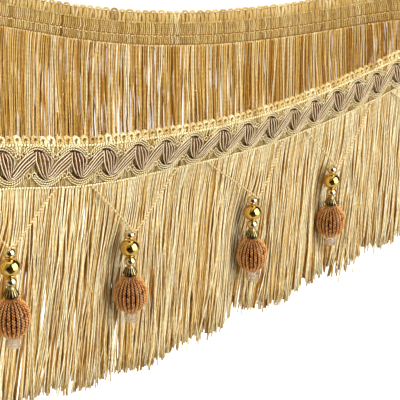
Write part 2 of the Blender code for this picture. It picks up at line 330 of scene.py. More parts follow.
def beyond(end, inner, reach):
    """A row past a cut end, in the line's own direction."""
    step = end - inner
    return end + step * (reach / np.linalg.norm(step[:3]))


PAST_END = 20.0
line = b_spline(PATH, 12)
run = run_along(line[:, :3])
LENGTH = run[-1]
line = np.vstack([beyond(line[0], line[1], PAST_END), line,
                  beyond(line[-1], line[-2], PAST_END)])
run = np.concatenate([[-PAST_END], run, [LENGTH + PAST_END]])
print("the cut length is", round(LENGTH, 1), "mm")


# %% Places on the tape and on the fringe
SIGHT = 3.0


def station(s):
    """The line's point and tilt at a run of s."""
    return np.stack([np.interp(s, run, line[:, c]) for c in range(4)], axis=-1)


def frame_at(s):
    """Point, direction along, outward, downward and face direction of the tape."""
    s = np.asarray(s, float)
    low = station(np.maximum(s - SIGHT, 0))[..., :3]
    high = station(np.minimum(s + SIGHT, LENGTH))[..., :3]
    along = unit(high - low)
    out = unit(np.stack([along[..., 1], -along[..., 0], 0 * along[..., 0]], axis=-1))
    up = np.cross(out, along)
    here = station(s)
    tilt = np.radians(here[..., 3:4])
    down = out * np.sin(tilt) - up * np.cos(tilt)
    face = out * np.cos(tilt) + up * np.sin(tilt)
    return here[..., :3], along, out, down, face


def on_tape(s, depth, out):
    """Points on the tape: along it, down from its top edge and out from its middle."""
    s, depth, out = np.broadcast_arrays(s, depth, out)
    point, _, _, down, face = frame_at(s)
    return point + down * depth[..., None] + face * out[..., None]


def pushed_in(s, fall):
    """How far a wound ball presses the fringe back, at its level and below."""
    ease = np.clip((fall - PUSH_FROM) / PUSH_OVER, 0, 1)
    ease = ease * ease * (3 - 2 * ease)
    near = sum(np.exp(-((s - DROP_START - DROP_PITCH * k - drop.shift) / PUSH_WIDTH) ** 2)
               for k, drop in enumerate(DROPS))
    return BALL_PUSH * near * ease


def on_fringe(s, fall, out):
    """Points on the hanging fringe: it leaves along the tape's slope and then hangs."""
    s, fall, out = np.broadcast_arrays(np.asarray(s, float), fall, out)
    point, along, outward, down, _ = frame_at(s)
    root = point + down * (TAPE_HEIGHT + ROOT_GAP)
    lean = np.interp(s, [row.at for row in LEANS], [row.amount for row in LEANS])
    hang = unit(np.array([0, 0, -1.0]) + along * lean[..., None])
    first = np.where(fall > 0, ROOT_TURN * (1 - np.exp(-fall / ROOT_TURN)), fall)
    place = root + down * first[..., None] + hang * (fall - first)[..., None]
    drifted = ((place - point) * along).sum(-1)
    return place + outward * (out - pushed_in(s + drifted, fall))[..., None]


def plumb_of(s, fall, out):
    """Points on the fringe's surface straight below s, whichever yarn has leaned there."""
    s, fall, out = np.broadcast_arrays(np.asarray(s, float), fall, out)
    foot = on_tape(s, TAPE_HEIGHT, 0.0)
    level = unit(frame_at(s)[1] * np.array([1, 1, 0]))
    root = s.copy()
    for _ in range(4):
        root = root - ((on_fringe(root, fall, 0.0) - foot) * level).sum(-1)
    return on_fringe(root, fall, out)


def zigzag_at(k):
    """Where the k-th foot of the zigzag stands, a little uneven as hand-guided work is."""
    return ZIGZAG_START + ZIGZAG_PITCH * k + 1.1 * np.sin(2.3 * k) + 0.5 * np.sin(5.1 * k)


print("middle of the near stretch", on_tape(185.0, 0.0, 0.0).round(1))

# %% [markdown]
# ## Thread, the stuff that nearly everything here is made of
# A thread is a thin tube that follows a row of points. Thousands of them would be far too
# slow as separate objects, so a whole group of threads is worked out at once as arrays and
# becomes one joined mesh. Each thread also carries two things for its material: a UV map,
# which runs round and along the thread in millimetres, and a tone, which makes each one a
# little lighter or darker than its neighbour.


# %% One mesh of many threads
def put_in_scene(name, mesh):
    """An object at the origin that shows the mesh."""
    piece = bpy.data.objects.new(name, mesh)
    bpy.context.scene.collection.objects.link(piece)
    return piece


def mesh_piece(name, points, faces, uv, tone, look):
    """A smooth mesh from points in millimetres, with its UV map and its tone attribute."""
    mesh = bpy.data.meshes.new(name)
    mesh.from_pydata((points * MM).tolist(), [], faces)
    layer = mesh.uv_layers.new(name="thread")
    layer.data.foreach_set("uv", np.asarray(uv, np.float32).ravel())
    held = mesh.attributes.new("tone", "FLOAT", "POINT")
    held.data.foreach_set("value", np.asarray(tone, np.float32).ravel())
    mesh.shade_smooth()
    mesh.materials.append(look)
    return put_in_scene(name, mesh)


def tube_faces(index):
    """The walls and end caps of closed tubes whose rings of points have these numbers."""
    low, high = index[..., :-1, :], index[..., 1:, :]
    walls = np.stack([low, np.roll(low, -1, -1), np.roll(high, -1, -1), high], -1)
    sides = index.shape[-1]
    ends = [index[..., 0, ::-1].reshape(-1, sides), index[..., -1, :].reshape(-1, sides)]
    return walls.reshape(-1, 4), np.vstack(ends)


def threads(name, points, side, radius, sides, tone, look, flat=1.0):
    """Closed tubes round the rows of points, each (threads, steps, 3) in millimetres.

    side is a rough sideways direction of the same shape, and flat squeezes the tube in it.
    """
    count, steps = points.shape[:2]
    tangent = unit(np.gradient(points, axis=1))
    side = np.broadcast_to(side, points.shape)
    side = unit(side - tangent * (side * tangent).sum(-1, keepdims=True))
    other = np.cross(tangent, side)
    radius = np.broadcast_to(radius, (count, steps))[:, :, None, None]
    angle = (2 * math.pi * (np.arange(sides) + 0.5) / sides)[None, None, :, None]
    ring = points[:, :, None] + radius * (flat * np.cos(angle) * side[:, :, None]
                                          + np.sin(angle) * other[:, :, None])
    quads, ends = tube_faces(np.arange(count * steps * sides).reshape(count, steps, sides))
    gone = run_along(points)
    turn = np.arange(sides) / sides
    uv = np.zeros((count, steps - 1, sides, 4, 2))
    uv[..., 0] = turn[None, None, :, None] + np.array([0, 1, 1, 0]) / sides
    uv[..., 0:2, 1] = gone[:, :-1, None, None]
    uv[..., 2:4, 1] = gone[:, 1:, None, None]
    uv = np.vstack([uv.reshape(-1, 2), np.zeros((2 * count * sides, 2))])
    tone = np.broadcast_to(np.asarray(tone)[:, None, None], (count, steps, sides))
    return mesh_piece(name, ring.reshape(-1, 3), quads.tolist() + ends.tolist(), uv, tone, look)


def triangles(piece):
    """How many triangles a piece has."""
    return sum(len(face.vertices) - 2 for face in piece.data.polygons)


def dress(piece, slot, *nodes):
    """Hang a piece on the frame and hide the solids that it stands for. Its slot is not used.
    """
    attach(piece, "root")
    if nodes:
        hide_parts(*nodes)
    print(piece.name, triangles(piece), "triangles")
    return piece


print("threads are ready")

# %% [markdown]
# ## Finishes for yarn
# Rayon yarn is shiny and never one colour. Its plies wind round it, so light and shadow
# alternate along it: the shadow in the valleys between plies is painted shade. Two node
# groups hold what all the yarns share: ply_twist draws the winding from the UV map, and
# yarn_colour mixes a shadow, a body and a light colour by the thread's own tone and a
# little noise. The shader itself stays in each material.


# %% Group: the winding of the plies
ply_twist, given, made = new_group(
    "ply_twist", [("Plies", FLOAT, 2.0), ("Pitch", FLOAT, 2.0)], [("Ridge", FLOAT)])
where = ply_twist.nodes.new("ShaderNodeUVMap")
where.uv_map = "thread"
parts = ply_twist.nodes.new("ShaderNodeSeparateXYZ")
ply_twist.links.new(where.outputs[0], parts.inputs[0])
round_it = math_node(ply_twist, "MULTIPLY", parts.outputs[0], given.outputs["Plies"])
turns = math_node(ply_twist, "DIVIDE", parts.outputs[1], given.outputs["Pitch"])
phase = math_node(ply_twist, "ADD", round_it, turns)
wave = math_node(ply_twist, "SINE", math_node(ply_twist, "MULTIPLY", phase, math.pi))
ridge = math_node(ply_twist, "ABSOLUTE", wave)
sharp = ramp_between(ply_twist, ridge, 0.25, 0.8)
ply_twist.links.new(sharp, made.inputs["Ridge"])
print("group", ply_twist.name)

# %% Group: the colour of yarn
yarn_colour, given, made = new_group(
    "yarn_colour",
    [("Shadow", COLOUR, (0.3, 0.2, 0.1, 1)), ("Body", COLOUR, (0.6, 0.5, 0.3, 1)),
     ("Light", COLOUR, (0.9, 0.8, 0.6, 1)), ("Ridge", FLOAT, 1.0), ("Spread", FLOAT, 0.5)],
    [("Color", COLOUR)])
tone = yarn_colour.nodes.new("ShaderNodeAttribute")
tone.attribute_name = "tone"
centred = math_node(yarn_colour, "SUBTRACT", speckle(yarn_colour, 420), 0.5)
level = math_node(yarn_colour, "MULTIPLY_ADD", centred, given.outputs["Spread"],
                  tone.outputs["Fac"])
halves = []
for shift in (0.0, -1.0):
    half = yarn_colour.nodes.new("ShaderNodeClamp")
    raised = math_node(yarn_colour, "MULTIPLY_ADD", level, 2.0, shift)
    yarn_colour.links.new(raised, half.inputs[0])
    halves.append(half.outputs[0])
lower = mix_colour(yarn_colour, halves[0], given.outputs["Shadow"], given.outputs["Body"])
upper = mix_colour(yarn_colour, halves[1], lower, given.outputs["Light"])
# The valleys between plies take the shadow colour: painted shade.
ply_valley_shade = mix_colour(yarn_colour, given.outputs["Ridge"], given.outputs["Shadow"], upper)
yarn_colour.links.new(ply_valley_shade, made.inputs["Color"])
print("group", yarn_colour.name)


# %% A yarn material from the two groups
def yarn_material(name, shadow, body, light, pitch, deep, gloss, bump, spread=0.5, shine=0.35):
    """A yarn finish. deep is how dark the valleys between plies are, from 0 to 1: painted
    shade.
    """
    made, tree, shader = new_material(name)
    twist = tree.nodes.new("ShaderNodeGroup")
    twist.node_tree = ply_twist
    twist.inputs["Pitch"].default_value = pitch
    colour = tree.nodes.new("ShaderNodeGroup")
    colour.node_tree = yarn_colour
    for label, value in (("Shadow", shadow), ("Body", body), ("Light", light)):
        colour.inputs[label].default_value = (*value, 1)
    colour.inputs["Spread"].default_value = spread
    kept = math_node(tree, "MULTIPLY_ADD", twist.outputs[0], deep, 1.0 - deep)
    tree.links.new(kept, colour.inputs["Ridge"])
    tree.links.new(colour.outputs[0], shader.inputs["Base Color"])
    emboss(tree, shader, twist.outputs[0], bump)
    shader.inputs["Roughness"].default_value = gloss
    shader.inputs["Specular IOR Level"].default_value = shine
    shader.inputs["Sheen Weight"].default_value = 0.04
    shader.inputs["Sheen Tint"].default_value = (1, 0.85, 0.55, 1)
    return made


# deep sets how strong the painted shade in the ply valleys is for each finish.
FRINGE_LOOK = yarn_material(
    "fringe_yarn", (0.40, 0.17, 0.018), (0.81, 0.55, 0.17), (1.0, 0.95, 0.66),
    pitch=3.2, deep=0.22, gloss=0.38, bump=0.1)
TAPE_LOOK = yarn_material(
    "tape_yarn", (0.22, 0.09, 0.01), (0.76, 0.55, 0.20), (1.0, 0.92, 0.60),
    pitch=1.6, deep=0.45, gloss=0.45, bump=0.12)
CORD_LOOK = yarn_material(
    "gimp_cord", (0.20, 0.065, 0.003), (0.98, 0.76, 0.33), (1.0, 0.94, 0.60),
    pitch=1.7, deep=0.97, gloss=0.4, bump=0.2)
ZIGZAG_LOOK = yarn_material(
    "zigzag_thread", (0.07, 0.018, 0.003), (0.42, 0.2, 0.07), (1.0, 0.86, 0.58),
    pitch=3.0, deep=0.1, gloss=0.4, bump=0.05, spread=0.12, shine=0.18)
# Dark brown, for the beds and tie lines: painted shade under the cords and chain rows.
SHADE_BED_LOOK = yarn_material(
    "painted_shade_cord", (0.07, 0.02, 0.004), (0.28, 0.12, 0.03), (0.5, 0.3, 0.1),
    pitch=1.2, deep=0.5, gloss=0.5, bump=0.1)
STRING_LOOK = yarn_material(
    "drop_string", (0.16, 0.065, 0.014), (0.62, 0.40, 0.13), (1.0, 0.86, 0.54),
    pitch=1.6, deep=0.4, gloss=0.4, bump=0.1)
print("yarn finishes made")

# %% [markdown]
# ## The cut fringe
# The fringe is four rows of yarn sewn under the tape, fine and pale at the face, thicker
# inside. The inner rows are darker as painted shade between the yarns, and the back row,
# which the far stretch shows, is darker than the face as painted shade. Strips of cloth cut
# by hand would lie too even. Cut yarn falls in
# loose bunches: the yarns of a bunch drift together and sway together, a few stray across
# their neighbours, and the ends are never quite level. So each yarn starts at its own place
# in its row and is drawn towards the middle of its bunch as it falls.

# %% How yarns gather
# For each row: how far out it is sewn, the pitch and radius of its yarns, and their tone
Row = namedtuple("Row", "out pitch radius tone")
# The low tones of the two inner rows, and the back row's tone below the face row's, are painted
# shade.
YARN_ROWS = [Row(1.9, 1.0, 0.34, 0.8), Row(0.65, 1.2, 0.56, 0.2),
             Row(-0.65, 1.1, 0.62, 0.24), Row(-1.9, 1.6, 0.5, 0.52)]
YARN_STEPS = np.array([-0.012, 0.02, 0.07, 0.14, 0.22, 0.31, 0.4, 0.5, 0.6, 0.7, 0.8, 0.9,
                       1.0])
BUNCH_PITCH = 4.2
BUNCH_COUNT = int(LENGTH / BUNCH_PITCH) + 2

bunch_shift = rng.uniform(-1.1, 1.1, BUNCH_COUNT)
bunch_sway = rng.uniform(-1.1, 1.1, BUNCH_COUNT)
bunch_turn = rng.uniform(0.3, 1.1, BUNCH_COUNT)
bunch_phase = rng.uniform(0, 2 * math.pi, BUNCH_COUNT)
bunch_out = rng.uniform(-1.2, 1.2, BUNCH_COUNT)
bunch_long = rng.normal(0, 2.2, BUNCH_COUNT)
print("bunches", BUNCH_COUNT)


# %% What changes along the tape
# A few yarns stick out wildly, on the near stretch alone. The far stretch hangs calmer.
# From the third drop to the turn the yarns are shorter and swept back along the tape. Each
# table holds places along the tape and the values there.
WILD_UNTIL = 500.0
WILD_SHARE = 0.04
WILD_TONE = 0.8
CALM = ([0, 430, 560, LENGTH], [1, 1, 0.35, 0.35])
SHORTER = ([0, 190, 250, 430, 520, LENGTH], [0, 0, 8, 8, 0, 0])
SWEPT = ([0, 180, 240, 390, 450, LENGTH], [0, 0, 0.09, 0.09, 0, 0])
GATHER = 0.26
FLARE_FROM = 0.75
print("yarns are shorter by up to", max(SHORTER[1]), "mm")


# %% One segment of the fringe
def column(values):
    """One value for each yarn, set to meet the steps down the yarns."""
    return np.asarray(values)[:, None]


def now_and_then(share, reach, total):
    """An even draw from the range for some of the yarns, and 0 for the others."""
    return np.where(rng.random(total) < share, rng.uniform(*reach, total), 0)


def fringe_yarns(number, start, end):
    """Four rows of yarn between two places on the tape."""
    counts = [round((end - start) / each.pitch) for each in YARN_ROWS]
    total = sum(counts)
    row_out, _, row_radius, row_tone = np.repeat(YARN_ROWS, counts, axis=0).T
    home = np.concatenate([start + (end - start) * (np.arange(count) + 0.5) / count
                           for count in counts])
    home = home + rng.uniform(-0.4, 0.4, total)
    bunch = np.clip((home + rng.normal(0, 1.0, total)) / BUNCH_PITCH, 0, BUNCH_COUNT - 1)
    bunch = bunch.astype(int)
    middle = (bunch + 0.5) * BUNCH_PITCH + bunch_shift[bunch]
    length = FRINGE_LENGTH + END_WAVE * np.sin(home * END_WAVE_TURN) + bunch_long[bunch]
    length = length + np.clip(rng.normal(0.5, 0.7, total), -3, 2)
    length = length - now_and_then(0.2, (0, 8), total)
    wild = (rng.random(total) < WILD_SHARE) & (home < WILD_UNTIL)
    length = length + wild * rng.uniform(0, 5, total)
    length = length - np.interp(home, *SHORTER)
    calm = np.interp(home, *CALM)
    stray = rng.normal(0, 0.03, total) + now_and_then(0.2, (-0.1, 0.1), total)
    stray = stray * np.sqrt(calm) - np.interp(home, *SWEPT)
    t = YARN_STEPS[None, :]
    free = np.clip(t, 0, 1)
    sway = column(bunch_sway[bunch]) * free * np.sin(
        2 * math.pi * column(bunch_turn[bunch]) * t + column(bunch_phase[bunch]))
    own = column(rng.uniform(0.3, 1.2, total)) * np.sin(
        2 * math.pi * (column(rng.uniform(0.8, 2.6, total)) * t + column(rng.random(total))))
    own = own * np.clip(t * 6, 0, 1)
    flare = now_and_then(0.45, (-3.4, 3.4), total) * np.where(wild, 2.6, 1)
    drawn = (column(middle) - column(home)) * GATHER * free ** 0.8
    s = column(home) + column(calm) * (drawn + sway + own)
    s = s + column(stray * length) * free ** 1.2
    s = s + column(flare * calm) * np.clip((t - FLARE_FROM) / (1 - FLARE_FROM), 0, 1) ** 2
    s = np.clip(s, 0.3, LENGTH - 0.3)
    out = column(row_out) * (0.7 + 0.5 * t) + column(bunch_out[bunch] * calm) * t
    out = out + (column(rng.uniform(-0.6, 0.6, total))
                 * np.sin(3 * t + column(rng.random(total) * 6)) * free)
    points = on_fringe(s, column(length) * t, out)
    radius = column(row_radius * rng.uniform(0.8, 1.15, total))
    tone = row_tone + rng.normal(0, 0.25, total)
    tone = np.clip(np.where(wild, WILD_TONE, tone), 0, 1)
    piece = threads(f"fringe_yarns_{number:02d}", points, frame_at(s)[1], radius, 4, tone,
                    FRINGE_LOOK)
    return dress(piece, "fringe_yarn", f"fringe_{number:02d}")


fringe_ends = [0.4] + SEGMENT_ENDS + [LENGTH - 0.4]
fringe_pieces = [fringe_yarns(number, start, end) for number, (start, end)
                 in enumerate(zip(fringe_ends, fringe_ends[1:]), 1)]

# %% [markdown]
# ## The heading tape
# The tape is a thin knitted band. Its cloth is one sheet that follows the line, dark as
# painted shade between the wales. Over it lie the wales, the upright threads of the knit,
# on both sides, because the far stretch of the trim shows its reverse. On the reverse the
# wales, chain stitch and picots are darker than on the face: painted shade on the far
# stretch. Rows of chain stitch lock the wales. Tall open picot loops finish the top edge:
# each is two cords, one down either side of the tape.

# %% The sheet
SHEET_TOP = 2.7
SHEET_HALF = 0.55
SHEET_COLUMNS = 436
SHEET_ROWS = 6


def tape_sheet():
    """A closed band of cloth from its top to its foot, with a UV map in millimetres."""
    s = np.linspace(0.2, LENGTH - 0.2, SHEET_COLUMNS + 1)
    depth = np.linspace(SHEET_TOP, TAPE_HEIGHT, SHEET_ROWS + 1)
    loop_depth = np.concatenate([depth, depth[::-1]])
    loop_out = np.repeat([SHEET_HALF, -SHEET_HALF], SHEET_ROWS + 1)
    points = on_tape(s[:, None], loop_depth[None, :], loop_out[None, :])
    size = len(loop_depth)
    index = np.arange(points.shape[0] * size).reshape(-1, size)
    quads, ends = tube_faces(index)
    around = np.stack([np.broadcast_to(s[:, None], index.shape),
                       np.broadcast_to(loop_depth[None, :], index.shape)], -1).reshape(-1, 2)
    corners = np.concatenate([quads.ravel(), ends.ravel()])
    # The sheet's low tone is painted shade in the gaps between the wales.
    tone = np.full(points.shape[0] * size, 0.12)
    return mesh_piece("heading_sheet", points.reshape(-1, 3), quads.tolist() + ends.tolist(),
                      around[corners], tone, TAPE_LOOK)


sheet = dress(tape_sheet(), "tape_yarn", "heading_tape")

# %% The wales on both sides
WALE_PITCH = LENGTH / PICOT_COUNT / 4


def wales(name, out, sway, radius, bright, spread, seed):
    """Upright threads side by side over one side of the tape."""
    draw = np.random.default_rng(seed)
    count, steps = int(LENGTH / WALE_PITCH), 7
    home = (np.arange(count) + 0.5) * WALE_PITCH
    depth = np.linspace(SHEET_TOP + 0.3, TAPE_HEIGHT - 0.2, steps)
    bend = np.where(np.arange(steps) % 2 == 0, 1, -1) * sway
    s = home[:, None] + bend[None, :] + draw.normal(0, 0.16, (count, steps))
    lift = out + np.sign(out) * draw.uniform(-0.12, 0.12, (count, steps))
    points = on_tape(s, depth[None, :], lift)
    tone = np.clip(draw.normal(bright, spread, count), 0.0, 1)
    return threads(name, points, frame_at(s)[1], radius, 4, tone, TAPE_LOOK)


front_wales = dress(wales("heading_wales_face", out=0.75, sway=0.22, radius=0.46, bright=0.66,
                          spread=0.24, seed=3), "tape_yarn")
# The reverse wales are darker than the face's: painted shade on the far stretch.
back_wales = dress(wales("heading_wales_reverse", out=-0.8, sway=0.3, radius=0.56, bright=0.5,
                         spread=0.16, seed=4), "tape_yarn")

# %% Picot loops
PICOT_PITCH = LENGTH / PICOT_COUNT
PICOT_RADIUS = 0.8
PICOT_LEG = 8.6
PICOT_HALF_WIDTH = 1.95


def picots(name, side, bright):
    """One of the two cords of the loops, with its legs sewn down over the knit."""
    draw = np.random.default_rng(5)
    middle = (np.arange(PICOT_COUNT) + 0.5) * PICOT_PITCH
    middle = middle + draw.normal(0, 0.25, PICOT_COUNT)
    turn = np.linspace(0, math.pi, 9)
    leg_across, leg_down = np.array([0.55, 0.6, 0.8]), np.array([1.0, 0.68, 0.4])
    across = np.concatenate([leg_across, np.cos(turn), -leg_across[::-1]])[None, :]
    down = np.concatenate([leg_down, 0.2 - 0.2 * np.sin(turn), leg_down[::-1]])[None, :]
    wide = PICOT_HALF_WIDTH + draw.uniform(-0.2, 0.15, (PICOT_COUNT, 1))
    skew = draw.uniform(-0.5, 0.5, (PICOT_COUNT, 1))
    s = np.clip(middle[:, None] + wide * across + skew * down, 0.7, LENGTH - 0.7)
    depth = PICOT_RADIUS + draw.uniform(0, 0.5, (PICOT_COUNT, 1)) + PICOT_LEG * down
    out = side * np.where(down > 0.3, 1.15, 0.4 + 0.15 * across)
    points = on_tape(s, depth, np.broadcast_to(out, s.shape))
    tone = np.clip(draw.normal(bright, 0.16, PICOT_COUNT), 0.2, 1)
    return threads(name, points, frame_at(s)[4], PICOT_RADIUS, 5, tone, TAPE_LOOK)


picot_loops = [dress(picots("picot_loops_face", 1, 0.62), "tape_yarn"),
               # The reverse loops are darker than the face's: painted shade on the far stretch.
               dress(picots("picot_loops_reverse", -1, 0.5), "tape_yarn")]

# %% [markdown]
# ## One stitch, used hundreds of times
# A chain stitch seen from outside is a small fat grain of yarn. One grain is modelled from
# a sphere: it is drawn out in one direction and pinched at its ends. Its few points are
# then stamped along the rows, turned a little each time.


# %% Tools for modelling
def only(piece):
    """Select and activate one object and nothing else."""
    bpy.ops.object.select_all(action="DESELECT")
    piece.select_set(True)
    bpy.context.view_layer.objects.active = piece


def pick(piece, test, kind="VERT"):
    """Go to edit mode with the points or faces selected whose place passes the test."""
    only(piece)
    bpy.ops.object.mode_set(mode="EDIT")
    bpy.ops.mesh.select_mode(type=kind)
    bpy.ops.mesh.select_all(action="DESELECT")
    bpy.ops.object.mode_set(mode="OBJECT")
    if kind == "FACE":
        for face in piece.data.polygons:
            face.select = test(face.center)
    else:
        for point in piece.data.vertices:
            point.select = test(point.co)
    bpy.ops.object.mode_set(mode="EDIT")


def pick_all(piece):
    """Go to edit mode with everything selected."""
    only(piece)
    bpy.ops.object.mode_set(mode="EDIT")
    bpy.ops.mesh.select_all(action="SELECT")


def done():
    """Go back to object mode."""
    bpy.ops.object.mode_set(mode="OBJECT")


def stamp(name, model, places, axes, tone, look):
    """Copies of one small mesh at many places, as one joined mesh.

    axes holds three vectors for each place: where the model's own x, y and z point.
    """
    base = np.array([point.co for point in model.data.vertices]) / MM
    faces = [list(face.vertices) for face in model.data.polygons]
    points = places[:, None, :] + np.einsum("pk,nkc->npc", base, axes)
    joined = [[n * len(base) + i for i in face] for n in range(len(places)) for face in faces]
    on_ridge = np.full((sum(map(len, joined)), 2), (0.25, 0.0))
    return mesh_piece(name, points.reshape(-1, 3), joined, on_ridge, np.repeat(tone, len(base)),
                      look)


# %% Model the grain
bpy.ops.object.select_all(action="DESELECT")
bpy.ops.mesh.primitive_uv_sphere_add(segments=5, ring_count=4, radius=0.5 * MM)
grain = bpy.context.object
grain.name = "grain_model"
pick_all(grain)
bpy.ops.transform.resize(value=(1.45, 1.3, 1.6))
done()
pick(grain, lambda co: abs(co.z) > 0.45 * MM and abs(co.z) < 0.9 * MM)
bpy.ops.transform.resize(value=(0.85, 0.85, 1.0))
done()
print("grain", len(grain.data.polygons), "faces")

# %% Rows of chain stitch
STITCH_PITCH = 1.95


def chain_row(row):
    """Grains end to end along the tape, each one slanting."""
    draw = np.random.default_rng(row.seed)
    s = np.arange(0.9, LENGTH - 0.9, STITCH_PITCH)
    rise = row.depth + row.wave * np.where(np.arange(len(s)) % 2 == 0, 1, -1)
    places = on_tape(s, rise + draw.normal(0, 0.08, len(s)), np.full(len(s), row.out))
    _, along, _, down, face = frame_at(s)
    lean = math.radians(row.slant)
    long_way = along * math.cos(lean) - down * math.sin(lean)
    axes = np.stack([np.cross(long_way, face), face, long_way], axis=1)
    tone = np.clip(draw.normal(row.bright, 0.1, len(s)), 0.3, 1)
    return stamp(row.name, grain, places, axes, tone, TAPE_LOOK)


def shade_tie_line(name, depth, out, radius):
    """A flat dark thread under a row of chain stitch, from end to end of the tape: painted
    shade round the stitches.
    """
    s = np.linspace(0.8, LENGTH - 0.8, 300)[None, :]
    points = on_tape(s, depth, out)
    return threads(name, points, frame_at(s)[4], radius, 6, np.array([0.6]), SHADE_BED_LOOK, flat=0.3)


# name, depth, out and radius of each tie, a dark line of painted shade under a chain row
SHADE_TIES = [
    ("shade_tie_face_top", 5.1, 1.6, 0.6),
    ("shade_tie_face_foot", 26.3, 1.15, 0.6),
    ("shade_tie_reverse_middle", 18.5, -1.2, 0.5),
    ("shade_tie_reverse_foot", 25.6, -1.15, 0.6),
]
Chain = namedtuple("Chain", "name depth out slant seed bright wave")
CHAINS = [
    Chain("chain_face_top", 5.0, 2.0, 40, 11, 0.95, 0.0),
    Chain("chain_face_foot", 26.4, 1.75, 24, 12, 0.95, 0.0),
    # The reverse rows are darker than the face rows: painted shade on the far stretch.
    Chain("chain_reverse_top", 9.4, -1.3, 30, 13, 0.5, 0.0),
    Chain("chain_reverse_middle", 19.2, -1.3, 20, 14, 0.56, 0.2),
    Chain("chain_reverse_foot", 26.3, -1.35, 38, 15, 0.6, 0.0),
]
shade_tie_lines = [dress(shade_tie_line(*tie), "tape_yarn") for tie in SHADE_TIES]
chain_rows = [dress(chain_row(row), "tape_yarn") for row in CHAINS]

# %% [markdown]
# ## The gimp scallops
# Above and below the zigzag lie scallops of thin gimp cord. In each scallop a loop of cord
# lies round a single one, so three cords run side by side along a shallow arc, with round
# ends. In the valleys between them the cord makes a small curl.

# %% A loop of cord on the flat
CORD_RADIUS = 0.44
CORD_PITCH = 1.2
ARC_STEPS = 13
END_STEPS = 4
LOOP_STEPS = 2 * ARC_STEPS + 2 * END_STEPS + 1


def arc_of(half, rise, inset):
    """A shallow arc's centre and radius, and how far a cord swings that lies inset in it."""
    big = (half * half + rise * rise) / (2 * rise)
    reach = math.asin(min(half / big, 0.999)) * (1 - 0.35 * inset / half)
    return np.array([0, rise - big]), big, reach


def swung(angles):
    """Places on a circle of radius 1, by their angle from straight up."""
    return np.stack([np.sin(angles), np.cos(angles)], -1)


def arc_loop(half, rise, width):
    """A closed loop along a shallow arc, as (along, up) rows from the arc's own foot."""
    centre, big, reach = arc_of(half, rise, 0)
    swing = np.linspace(-reach, reach, ARC_STEPS)
    over = centre + big * swung(swing)
    under = centre + (big - width) * swung(swing)[::-1]
    turn = np.linspace(0, math.pi, END_STEPS + 2)[1:-1, None]
    bends = []
    for side, angle in ((1, reach), (-1, -reach)):
        round_way = np.array([math.cos(angle), -math.sin(angle)]) * side
        out_way = np.array([math.sin(angle), math.cos(angle)])
        middle = centre + (big - width / 2) * out_way
        bends.append(middle + width / 2 * (side * np.cos(turn) * out_way
                                           + 0.9 * np.sin(turn) * round_way))
    return np.vstack([over, bends[0], under, bends[1], over[:1]])


def arc_line(half, rise, inset):
    """One cord along the arc, with as many rows as a loop has."""
    centre, big, reach = arc_of(half, rise, inset)
    return centre + (big - inset) * swung(np.linspace(-reach, reach, LOOP_STEPS))


def curl(radius):
    """A small ring of cord on the flat."""
    turn = np.linspace(0, 2 * math.pi, LOOP_STEPS)
    return np.stack([radius * 1.25 * np.cos(turn), radius * np.sin(turn)], -1)


# %% The two rows of scallops
Scallop = namedtuple("Scallop", "share half rise depth upwards curl_share curl_depth")
UPPER = Scallop(0.72, 9.7, 4.6, 8.9, True, 0.22, 10.6)
LOWER = Scallop(0.02, 9.8, 5.0, 20.4, False, 0.53, 20.3)
GIMP_OUT = 2.2
CURL_RADIUS = 1.15
CURL_FROM_END = 3
PERIODS = range(-1, int(LENGTH / ZIGZAG_PITCH) + 1)


def between(k, share):
    """A place some share of the way from one foot of the zigzag to the next."""
    return zigzag_at(k) + (zigzag_at(k + 1) - zigzag_at(k)) * share


def scallops(name, kind, seed):
    """Nested loops and curls for each period of the zigzag, laid on the tape's face."""
    draw = np.random.default_rng(seed)
    rows, tones = [], []
    laid = [arc_loop(kind.half, kind.rise, 2 * CORD_PITCH),
            arc_line(kind.half, kind.rise, CORD_PITCH)]
    for k in PERIODS:
        middle, place = between(k, kind.share), between(k, kind.curl_share)
        flats = []
        if kind.half < middle < LENGTH - kind.half:
            way = 1 if kind.upwards else -1
            flats += [(middle, kind.depth, way, flat) for flat in laid]
        if CURL_FROM_END < place < LENGTH - CURL_FROM_END:
            flats.append((place, kind.curl_depth, 1, curl(CURL_RADIUS)))
        for at, depth, way, flat in flats:
            flat = flat + draw.normal(0, 0.05, flat.shape)
            lift = GIMP_OUT + 0.15 * np.sin(np.linspace(0, 9, len(flat)) + k)
            rows.append(np.stack([at + way * flat[:, 0], depth - way * flat[:, 1], lift], -1))
            tones.append(draw.uniform(0.65, 1.0))
    rows = np.array(rows)
    s = np.clip(rows[..., 0], 0.6, LENGTH - 0.6)
    points = on_tape(s, rows[..., 1], rows[..., 2])
    return threads(name, points, frame_at(s)[4], CORD_RADIUS, 5, np.array(tones), CORD_LOOK)


upper = dress(scallops("gimp_upper_cords", UPPER, 21), "gimp_cord", "gimp_upper")
lower = dress(scallops("gimp_lower_cords", LOWER, 22), "gimp_cord", "gimp_lower")

# %% A brown bed under the cords: painted shade round them
SHADE_BED_OUT = 1.75
SHADE_BED_HALF = 2.15
SHADE_BED_INSET = 1.85


